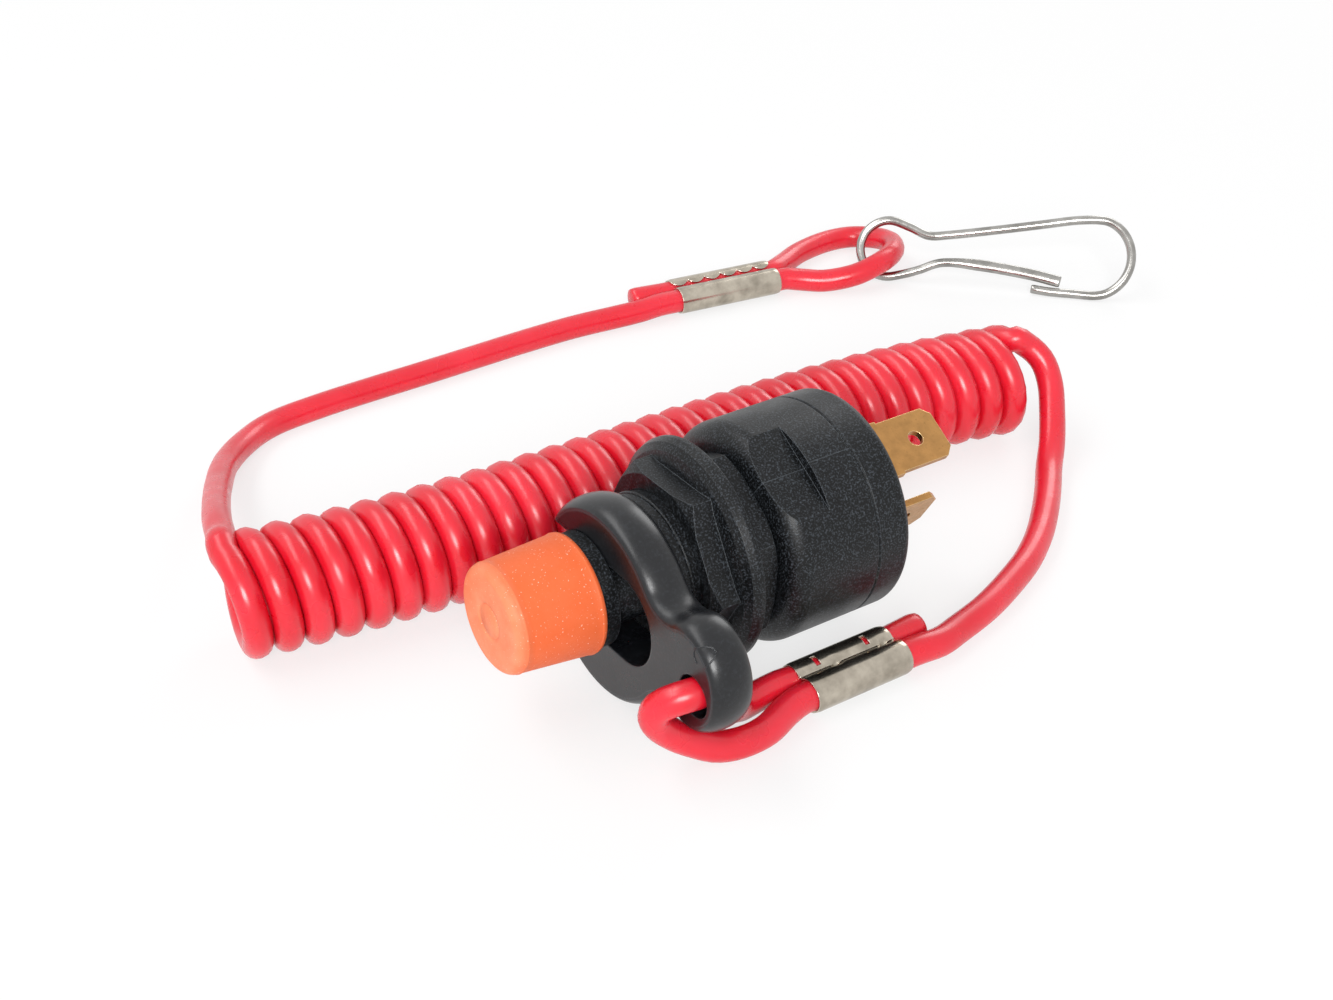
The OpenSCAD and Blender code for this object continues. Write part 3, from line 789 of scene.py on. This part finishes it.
@dataclass
class LanyardClip(Assembly):
    """C-shaped clip: rounded arms round the stem, and a tail with an eyelet."""

    front: float = -13.25
    thickness: float = 4.8
    horseshoe_r: float = 11.3
    tail_r: float = 6.1
    tail_reach: float = 15.6
    waist_r: float = 4.0
    centre_y: float = -2.1
    drop: float = 0.2
    outline_drop: float = 0.8
    slot_w: float = 10.0
    slot_end_y: float = -6.6
    # Each side of the slot's mouth: how far it widens, and y beyond the mouth's start
    mouth: Points = ((0.0, -1.4), (0.25, -0.6), (0.9, 0.5), (2.5, 3.0), (2.5, 8.0))
    mouth_depth: float = 1.0
    eyelet_d: float = 4.6
    eyelet_drop: float = 1.9
    eyelet_y: float = -18.9
    layers: int = 12
    sharp_deg: float = 32.0
    # From this share of the horseshoe's radius on, the tail is a little shorter and taller than a circle
    tail_from: float = 0.9
    tail_squeeze: float = 0.925
    tail_swell: float = 0.03
    # The edge is rounded over half the thickness, and this far inwards
    edge_in: float = 1.1
    # Width of the fine crease round the flat front face, where two parts of the mould met
    crease: float = 0.05
    mark_at: Span = (-20.0, 15.6)
    mark_r: float = 1.05
    mark_wire: float = 0.09
    # Corners of the barb: depth from the front, y from the slot's end, and height from its middle
    barb: Points = (
        (0.35, -0.2, -0.7), (0.35, -0.2, 0.7), (0.55, 0.45, 0.0),
        (1.6, -0.2, -0.9), (1.6, -0.2, 0.9), (1.6, 0.1, 0.0),
    )

    def outline(self, inset: float) -> np.ndarray:
        """Outline of the clip, moved inwards.

        Args:
            inset: Distance inwards from the outer edge.

        Returns:
            Points in the clip's plane, the reach along the first axis.
        """
        ra = self.horseshoe_r + self.waist_r
        rb = self.tail_r + self.waist_r
        a = math.acos((ra**2 + self.tail_reach**2 - rb**2) / (2 * ra * self.tail_reach))
        waist = np.array([ra * math.cos(a), ra * math.sin(a)])
        b = math.atan2(waist[1], waist[0] - self.tail_reach)
        full = 2 * math.pi

        def arc(centre: Point, r: float, start: float, end: float, n: int) -> np.ndarray:
            """Returns points of an arc."""
            q = np.linspace(start, end, n)
            return np.stack([centre[0] + r * np.cos(q), centre[1] + r * np.sin(q)], 1)

        loop = np.vstack([
            arc((0, 0), self.horseshoe_r - inset, a, full - a, 120),
            arc((waist[0], -waist[1]), self.waist_r + inset, math.pi - a, math.pi - b, 20)[1:-1],
            arc((self.tail_reach, 0), self.tail_r - inset, -b, b, 80),
            arc(waist, self.waist_r + inset, math.pi + b, math.pi + a, 20)[1:-1],
        ])
        start = self.horseshoe_r * self.tail_from
        beyond = np.clip(loop[:, 0] - start, 0, None)
        swell = np.clip(beyond / (self.tail_reach - start), 0, 1)
        loop[:, 0] -= beyond * (1 - self.tail_squeeze)
        loop[:, 1] *= 1 + self.tail_swell * swell
        return loop

    def openings(self) -> list[np.ndarray]:
        """Outlines of the slot, with its round end and flared mouth, and of the eyelet.

        Returns:
            Height from the slot's middle, and y, of the corners of each.
        """
        half = self.slot_w / 2
        q = np.linspace(math.pi, 2 * math.pi, 48)
        end = np.stack([half * np.cos(q), self.slot_end_y + half * np.sin(q)], 1)
        flare = np.array(self.mouth) + (half, self.centre_y + self.horseshoe_r - self.mouth_depth)
        q = np.linspace(0, 2 * math.pi, 48, endpoint=False)
        eyelet = self.eyelet_d / 2 * np.stack([np.cos(q), np.sin(q)], 1) + (-self.eyelet_drop, self.eyelet_y)
        return [np.vstack([end, flare, flare[::-1] * (-1, 1)]), eyelet]

    def build(self) -> None:
        """Builds the clip in place of its CAD node."""
        half = self.thickness / 2
        middle = self.front + half
        angles = np.radians(np.linspace(-90, 90, 2 * self.layers + 1))
        plan = [(self.edge_in + self.crease, -half), (self.edge_in, self.crease - half)]
        plan += [(self.edge_in * (1 - math.cos(a)), half * math.sin(a)) for a in angles[1:]]
        rows = []
        for inset, depth in plan:
            flat = self.outline(inset)
            height = AXIS_HEIGHT - self.drop - self.outline_drop + flat[:, 1]
            station = np.full(len(flat), middle + depth)
            rows.append(np.stack([station, self.centre_y - flat[:, 0], height], 1))
        clip = closed_skin("clip_moulding", rows)
        cutters = []
        for loop in self.openings():
            level = AXIS_HEIGHT - self.drop
            walls = [[(middle + s * self.thickness, y, level + w) for w, y in loop] for s in (-1, 1)]
            cutters.append(closed_skin("cutter", walls, False))
            cut = clip.modifiers.new("cut", "BOOLEAN")
            cut.object = cutters[-1]
            cut.operation = "DIFFERENCE"
            cut.solver = "EXACT"
        settle_modifiers(clip, self.sharp_deg)
        for cutter in cutters:
            bpy.data.objects.remove(cutter)
        self.settle(clip, Slot.CLIP, Body.CLIP, "lanyard_clip")

    def add_marks(self) -> None:
        """Adds the ejector's open ring on the tail and the small barb in the slot's end."""
        edge = self.outline(0.0)
        route = []
        for a in np.radians(np.linspace(-60, 220, 40)):
            y = self.mark_at[0] + self.mark_r * math.cos(a)
            z = self.mark_at[1] + self.mark_r * math.sin(a)
            spot = np.array([self.centre_y - y, z - AXIS_HEIGHT + self.drop + self.outline_drop])
            # The ring follows the front surface, which falls away towards the rounded edge
            inset = float(np.linalg.norm(edge - spot, axis=1).min())
            share = max(0.0, 1 - inset / self.edge_in)
            route.append((self.front + self.thickness / 2 * (1 - math.sqrt(1 - share**2)), y, z))
        ring = tube("clip_ejector_mark", np.array(route), self.mark_wire, 8, up=(1, 0, 0))
        wall = self.slot_end_y - self.slot_w / 2
        corners = placed(np.array(self.barb) + (self.front, wall, AXIS_HEIGHT - self.drop))
        faces = [(0, 2, 1), (3, 4, 5), (0, 3, 5, 2), (1, 2, 5, 4), (0, 1, 4, 3)]
        barb = new_piece("clip_barb", corners, faces, False)
        for piece in (ring, barb):
            self.settle(piece, Slot.CLIP, Body.CLIP)


@dataclass
class Ferrule(Assembly):
    """Crimped sleeve of sheet metal round two stretches of cord, its edges met on top."""

    name: str
    node: str
    body: Body
    centre: tuple[float, float, float]
    turn_deg: float
    length: float
    # Distance along the ferrule of each pit in the valley
    pits: tuple[float, ...] = ()
    pit_depth: float = 0.5
    pit_spread: float = 0.22
    # Distance along it of each window's middle, its half width, and its edges from the valley
    windows: tuple[float, ...] = ()
    window_half: float = 0.3
    window_from: float = 0.5
    window_to: float = 1.9
    # Pitch of the scalloped edge, 0 for a straight one, and how far it draws back
    scallop: float = 0.0
    scallop_depth: float = 0.9
    # Distance of the sheet's edges from the valley: straight, scalloped, and on the far side
    seam: tuple[float, float, float] = (0.06, 0.3, 0.02)
    # The barrels run into each other over this far, and the ends draw in by this share
    valley: float = 0.5
    end_squeeze: float = 0.03
    end_reach: float = 0.5
    barrel_y: float = 1.5
    outer_r: float = 1.95
    wall: float = 0.3
    lift: float = 0.1
    around: int = 112
    ring_step: float = 0.14
    ring_gap: float = 0.08
    sharp_deg: float = 50.0

    def section(self) -> np.ndarray:
        """Outline of two round barrels that run into each other.

        Returns:
            Points from the valley on top, over the far barrel, round to the valley: sideways and up.
        """
        points = []
        for q in np.linspace(math.pi / 2, -1.5 * math.pi, 240):
            way = np.array([math.cos(q), math.sin(q)])
            low, high = 0.0, 6.0
            # Halves the range until the surface is found
            for _ in range(30):
                t = (low + high) / 2
                gaps = [np.linalg.norm(t * way - (s * self.barrel_y, 0)) - self.outer_r for s in (-1, 1)]
                blend = max(0.0, self.valley - abs(gaps[0] - gaps[1])) ** 2 / (4 * self.valley)
                low, high = (t, high) if min(gaps) - blend < 0 else (low, t)
            points.append(low * way)
        return np.array(points)

    def edge(self, x: float) -> float:
        """Place of the sheet's visible edge.

        Args:
            x: Distance along the ferrule from its middle.

        Returns:
            Distance of the edge from the valley.
        """
        straight, scalloped, _ = self.seam
        if not self.scallop:
            return straight
        wave = abs(math.sin(math.pi * (x + self.length / 2) / self.scallop))
        return scalloped + self.scallop_depth * (1 - wave**0.6)

    def stations(self) -> np.ndarray:
        """Places of the rings along the ferrule, with one on each side of a window.

        Returns:
            Their distances from the ferrule's middle.
        """
        even = np.linspace(-self.length / 2, self.length / 2, round(self.length / self.ring_step) + 1)
        sides = [w + s * self.window_half for w in self.windows for s in (-1, 1)]
        far = [x for x in even if all(abs(x - side) > self.ring_gap for side in sides)]
        return np.array(sorted(far + sides))

    def build(self) -> Object:
        """Builds the ferrule in place of its CAD node.

        Returns:
            The ferrule.
        """
        line = self.section()
        along = distances(line)
        stations = self.stations()
        turn = math.radians(self.turn_deg)
        rows, places = [], []
        for x in stations:
            place = np.linspace(self.edge(x), along[-1] - self.seam[2], self.around)
            ring = np.stack([np.interp(place, along, line[:, k]) for k in range(2)], 1)
            # The ends draw in by a hair where the sheet was cut
            ring *= 1 - self.end_squeeze * max(0.0, 1 - (self.length / 2 - abs(x)) / self.end_reach)
            for pit in self.pits:
                near = np.exp(-((x - pit) ** 2 + ring[:, 0] ** 2) / self.pit_spread)
                ring[:, 1] -= np.where(ring[:, 1] > 0, self.pit_depth * near, 0)
            px = x * math.cos(turn) - ring[:, 0] * math.sin(turn)
            py = x * math.sin(turn) + ring[:, 0] * math.cos(turn)
            rows.append(np.stack([px, py, ring[:, 1] + self.outer_r + self.lift], 1) + self.centre)
            places.append(place)
        sheet = grid_faces(len(rows), self.around, False)
        place, x = np.concatenate(places), np.repeat(stations, self.around)
        faces = [f for f in sheet if not self.in_window(x[list(f)].mean(), place[list(f)].mean())]
        sleeve = new_piece(self.name, placed(np.concatenate(rows)), faces)
        shell = sleeve.modifiers.new("sheet", "SOLIDIFY")
        shell.thickness = self.wall * MM
        shell.offset = -1
        settle_modifiers(sleeve, self.sharp_deg)
        return self.settle(sleeve, Slot.FERRULE, self.body, self.node)

    def in_window(self, x: float, place: float) -> bool:
        """Tells whether a spot of the sheet, x along it and place from the valley, is cut out."""
        beside = any(abs(x - w) < self.window_half for w in self.windows)
        return beside and self.window_from < place < self.window_to


@dataclass
class SafetyCord(Assembly):
    """The cord, in three pieces that meet inside the ferrules."""

    diameter: float = 3.3
    lift: float = 0.05
    turns: int = 31
    winding_r: float = 5.5
    axis_z: float = 7.1
    first_top: Span = (-42.0, 26.6)
    last_top: Span = (61.1, 17.4)
    bow: float = 2.0
    swing: float = 16.4
    steps_per_turn: int = 24
    loop_step: float = 0.8
    tail_step: float = 0.9
    clip_loop: Points = (
        (20.6, -13.4, 2.1), (18, -13.55, 2.05), (15.6, -13.65, 2.0), (9.3, -13.65, 2.0), (3.4, -13.62, 2.02),
        (1.6, -13.5, 2.1), (-1.4, -13.6, 2.0), (-4.2, -14.2, 2.3), (-6.2, -15.6, 4.2), (-7.1, -17.5, 7.6),
        (-8.4, -18.8, 10.2), (-10.4, -18.9, 10.6), (-12.9, -18.9, 10.6), (-14.8, -18.2, 10.2),
        (-16, -17.1, 9.1), (-16.2, -16.5, 7.6), (-15.4, -16.3, 6), (-14, -16.5, 4.5), (-12.2, -17, 3.2),
        (-9.6, -17.9, 1.9), (-6.8, -18.5, 1.6), (-3.6, -18.3, 1.6), (-0.6, -17.3, 1.9), (1.6, -16.8, 2.1),
        (3.4, -16.67, 2.02), (9.3, -16.65, 2.0), (13.6, -16.65, 2.0),
    )
    right_tail: Points = (
        (13.6, -16.65, 2.0), (15.75, -16.67, 2.05), (18, -16.8, 2.1), (21, -16.7, 1.8), (24.4, -15.8, 1.6),
        (29.4, -14.5, 1.6), (34.6, -12.5, 1.6), (40.1, -9.9, 1.6), (45, -6.7, 1.6), (49.4, -3.1, 1.6),
        (53.1, 0.3, 1.6), (56.6, 3.8, 1.9), (59.8, 6.8, 3.3), (62.2, 9.6, 5.4), (64, 12.2, 7.8),
        (64.3, 14.4, 10.2), (63, 16.4, 12),
    )
    left_tail: Points = (
        (-40.7, 30.8, 12.2), (-39, 36.4, 10.8), (-36.3, 43.8, 8.3), (-33.1, 51.6, 5.7), (-29.2, 59.5, 3.4),
        (-24.2, 65.6, 2), (-18.8, 68.9, 1.6), (-11.8, 69.9, 1.6), (-3.8, 70.3, 1.6), (4.2, 70.5, 1.6),
        (12.2, 70.8, 1.6), (20.2, 71.1, 1.6), (28.2, 71.1, 1.6), (34.6, 70.5, 1.6), (38.8, 69.8, 1.8),
        (42.1, 69.5, 2.05), (45.17, 69.15, 2.0), (47.15, 68.86, 2.0),
    )
    hook_loop: Points = (
        (47.15, 68.86, 2.0), (52.02, 68.14, 2.0), (61.19, 66.78, 2.0), (62.6, 66.45, 2.1), (65, 65.1, 1.8),
        (67.8, 63.1, 1.7), (71.6, 61.1, 2.4), (75.4, 60.6, 3.3), (78.8, 61.7, 3.5), (81.6, 64, 3.2),
        (83.4, 67.2, 2.7), (83.2, 70.8, 2.1), (80.8, 73.8, 1.7), (76.4, 74.6, 1.6), (70.8, 73.6, 1.6),
        (66.4, 71.6, 1.7), (63, 69.75, 2.1), (61.63, 69.75, 2.0), (51.98, 71.18, 2.0), (45.6, 72.12, 2.0),
        (42.5, 72.65, 2.05), (39.5, 73.17, 2.1),
    )

    def winding(self) -> np.ndarray:
        """Centre line of the coiled stretch.

        Returns:
            Points from the first top, at the left, to the last.
        """
        count = self.turns * self.steps_per_turn
        t = np.linspace(0, 1, count + 1)[:, None]
        first, last = np.array(self.first_top), np.array(self.last_top)
        way = (last - first) / np.linalg.norm(last - first)
        front = np.array([way[1], -way[0]])
        q = 2 * math.pi * self.turns * t
        bend = self.bow * t * (1 - t) - self.swing * t * (1 - t) * (1 - 2 * t)
        flat = first + (last - first) * t + front * (self.winding_r * np.sin(q) - bend)
        return np.hstack([flat, self.axis_z + self.winding_r * np.cos(q)])

    def lay(
        self, name: str, route: np.ndarray, nodes: Sequence[str], exit_at: Point, **facts: object
    ) -> Object:
        """Args:
            name: Name of the piece.
            route: Its centre line in the bench frame.
            nodes: CAD nodes that it stands for.
            exit_at: Bench point where it leaves what carries it; not used.
            **facts: Facts about the cord; not used.

        Returns:
            The piece.
        """
        raised = route + np.array([0, 0, self.lift])
        piece = tube(name, raised, self.diameter / 2)
        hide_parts(*nodes)
        self.palette.dress(piece, Slot.CORD)
        return piece

    def build(self, clip_ferrule: Object, hook_ferrule: Object, hook: Object) -> None:
        """Lays the three pieces.

        Args:
            clip_ferrule: Ferrule at the clip.
            hook_ferrule: Ferrule at the hook.
            hook: The snap hook.
        """
        at_clip = smooth_route(self.clip_loop, self.loop_step)
        loop = self.lay(
            "cord_at_clip", at_clip, ["clip_cord_loop"], self.clip_loop[-1],
            far_end="bare", lay="loose", with_pieces=[clip_ferrule],
        )
        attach(loop, Body.CLIP.value)

        # Each tail is drawn on into the first turn, so that it meets it without a kink, and cut there
        winding = self.winding()
        right = smooth_route([*self.right_tail, winding[-1], winding[-8]], self.tail_step)
        right = right[: int(np.argmin(np.linalg.norm(right - winding[-1], axis=1)))]
        left = smooth_route([winding[8], winding[0], *self.left_tail], self.tail_step)
        left = left[int(np.argmin(np.linalg.norm(left - winding[0], axis=1))) + 1 :]
        route = np.vstack([right, winding[::-1], left])
        main = self.lay(
            "cord_main", route, ["cord_right_tail", "cord_coil", "cord_left_tail"], self.right_tail[0],
            far_end="fitting", lay="coiled", with_pieces=[hook_ferrule],
        )
        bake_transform(main)

        at_hook = smooth_route(self.hook_loop, self.loop_step)
        last = self.lay(
            "cord_at_hook", at_hook, ["hook_cord_loop"], self.hook_loop[0],
            far_end="bare", lay="loose", with_pieces=[hook],
        )
        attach(last, Body.SWITCH.value)


@dataclass
class SnapHook(Assembly):
    """Hook bent from one wire: gate arm, eye, back and hooked end."""

    wire_d: float = 1.35
    corner: tuple[float, float, float] = (77.6, 60.95, 0.725)
    turn_deg: float = -46.8
    lean_deg: float = 55.0
    eye_r: float = 4.3
    gate: Points = ((26, 1.6), (21, 2.4), (14, 3), (8.4, 2.9), (5, 1.5), (2.6, 0.6))
    back: Points = ((3, 7.8), (5.8, 6.8), (9, 7.2), (15, 8.4), (22, 9.9), (27, 11), (30.4, 11.4))
    bend_at: Span = (30.6, 5.75)
    bend_r: Span = (5.3, 5.75)
    nose: Points = ((27.6, 0), (24.4, 0), (21.8, 0.2))
    step: float = 0.45
    # The gate arm is rolled flat over this share of the wire, easing out over the last of it
    flat_share: float = 0.17
    flat_ease: float = 0.04
    flat_by: float = 0.3

    def route(self) -> np.ndarray:
        """Lays the wire out flat, then leans and turns it.

        Returns:
            Its centre line in the bench frame.
        """
        a = np.radians(np.arange(-90, -271, -30))
        eye = np.stack([self.eye_r * np.cos(a), self.eye_r + self.eye_r * np.sin(a)], 1)
        a = np.radians(np.arange(70, -81, -25))
        bend = np.array(self.bend_at) + np.array(self.bend_r) * np.stack([np.cos(a), np.sin(a)], 1)
        flat = np.array([*self.gate, *eye, *self.back, *bend, *self.nose])
        lean, turn = math.radians(self.lean_deg), math.radians(self.turn_deg)
        x, y = flat[:, 0], flat[:, 1] * math.cos(lean)
        east = x * math.cos(turn) - y * math.sin(turn)
        north = x * math.sin(turn) + y * math.cos(turn)
        turned = np.stack([east, north, flat[:, 1] * math.sin(lean)], 1)
        return smooth_route(turned + self.corner, self.step)

    def flattened(self, share: float) -> Span:
        """Returns the wire's side and up factors at a share of its length."""
        ease = min(1.0, max(0.0, (self.flat_share - share) / self.flat_ease))
        return 1 + self.flat_by * ease, 1 - self.flat_by * ease

    def build(self) -> Object:
        """Builds the hook in place of its CAD node.

        Returns:
            The hook.
        """
        lean, turn = math.radians(self.lean_deg), math.radians(self.turn_deg)
        normal = (math.sin(lean) * math.sin(turn), -math.sin(lean) * math.cos(turn), math.cos(lean))
        hook = tube("hook_wire", self.route(), self.wire_d / 2, 14, self.flattened, normal)
        return self.settle(hook, Slot.HOOK, Body.SWITCH, "snap_hook")


# Studio


@dataclass
class Studio:
    """Camera at the photograph's angle, soft lamps, and a pale floor."""

    eye: tuple[float, float, float] = (-99.695, -133.236, 122.471)
    azimuth_deg: float = -34.02
    pitch_deg: float = 31.51
    lens: float = 51.31
    floor_size: float = 6.0
    floor_glow: float = 0.72
    world_light: float = 0.42

    def set_camera(self) -> None:
        """Adds the camera and makes it the scene's own."""
        data = bpy.data.cameras.new("camera")
        data.lens = self.lens
        data.sensor_width = 36
        data.clip_start = 0.005
        camera = bpy.data.objects.new("camera", data)
        camera.location = Vector(self.eye) * MM
        camera.rotation_euler = (math.radians(90 - self.pitch_deg), 0, math.radians(self.azimuth_deg))
        bpy.context.scene.collection.objects.link(camera)
        bpy.context.scene.camera = camera

    def add_lamp(self, name: str, at: Point, wide: float, tall: float, power: float) -> None:
        """Adds a soft box that faces the object.

        Args:
            name: Name of the lamp.
            at: Place in metres.
            wide: Level side of the lamp in metres.
            tall: Its other side in metres.
            power: Power in watts.
        """
        data = bpy.data.lights.new(name, "AREA")
        data.shape = "RECTANGLE"
        data.size = wide
        data.size_y = tall
        data.energy = power
        lamp = bpy.data.objects.new(name, data)
        lamp.location = at
        aim = Vector((0.03, 0.03, 0.0)) - Vector(at)
        lamp.rotation_euler = aim.to_track_quat("-Z", "Y").to_euler()
        bpy.context.scene.collection.objects.link(lamp)

    def light(self) -> None:
        """Adds the lamps and the world's even light, white where it is seen."""
        self.add_lamp("key", (-0.35, 0.25, 0.75), 1.0, 0.3, 3.3)
        self.add_lamp("fill", (-0.5, -0.75, 0.5), 0.4, 0.4, 8.6)
        self.add_lamp("rim", (0.7, 0.4, 0.45), 0.4, 0.4, 1.6)
        world = bpy.data.worlds.new("studio")
        world.use_nodes = True
        sky = Tree(world.node_tree)
        strength = sky.add("MapRange", {"Value": sky.seen(), "To Min": self.world_light, "To Max": 1.0})
        light = sky.add("Background", {"Color": linear("#FFFFFF"), "Strength": strength})
        sky.add("OutputWorld", {"Surface": light})
        bpy.context.scene.world = world

    def lay_floor(self) -> None:
        """Lays the pale floor: white where it is seen, and it keeps the shadow."""
        half = self.floor_size / 2
        corners = np.array([(-half, -half, 0), (half, -half, 0), (half, half, 0), (-half, half, 0)])
        floor = new_piece("floor", corners, [(0, 1, 2, 3)], False)
        shader = Shader("paper_sweep_white")
        paper = shader.add("BsdfPrincipled", {"Base Color": linear("#F2F2F2"), "Roughness": 0.9})
        glow = shader.add("Emission", {"Color": linear("#FFFFFF"), "Strength": 1.0})
        share = shader.add("Math", {0: shader.seen(), 1: self.floor_glow}, operation="MULTIPLY")
        mix = shader.add("MixShader", {0: share, 1: paper, 2: glow})
        shader.add("OutputMaterial", {"Surface": mix})
        floor.data.materials.append(shader.material)


def main() -> None:
    """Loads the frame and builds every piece."""
    logging.basicConfig(level=logging.INFO, format="%(message)s")
    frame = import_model()
    bpy.context.scene.view_settings.view_transform = "Standard"
    studio = Studio()
    studio.set_camera()
    studio.light()
    studio.lay_floor()

    palette = Palette()
    switch = Switch(palette)
    switch.dress_nodes(frame["nodes"])
    switch.add_thread()
    ButtonCap(palette).build()
    clip = LanyardClip(palette)
    clip.build()
    clip.add_marks()
    clip_ferrule = Ferrule(
        palette, "ferrule_at_clip", "clip_ferrule", Body.CLIP, centre=(9.3, -15.15, 0.0), turn_deg=0.0,
        length=12.6, pits=(-1.6, 4.9), windows=(-3.5, 3.1),
    ).build()
    hook_ferrule = Ferrule(
        palette, "ferrule_at_hook", "hook_ferrule", Body.SWITCH, centre=(53.4, 69.45, 0.0), turn_deg=-8.4,
        length=16.2, scallop=2.7,
    ).build()
    hook = SnapHook(palette).build()
    SafetyCord(palette).build(clip_ferrule, hook_ferrule, hook)

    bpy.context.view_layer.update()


if __name__ == "__main__":
    main()
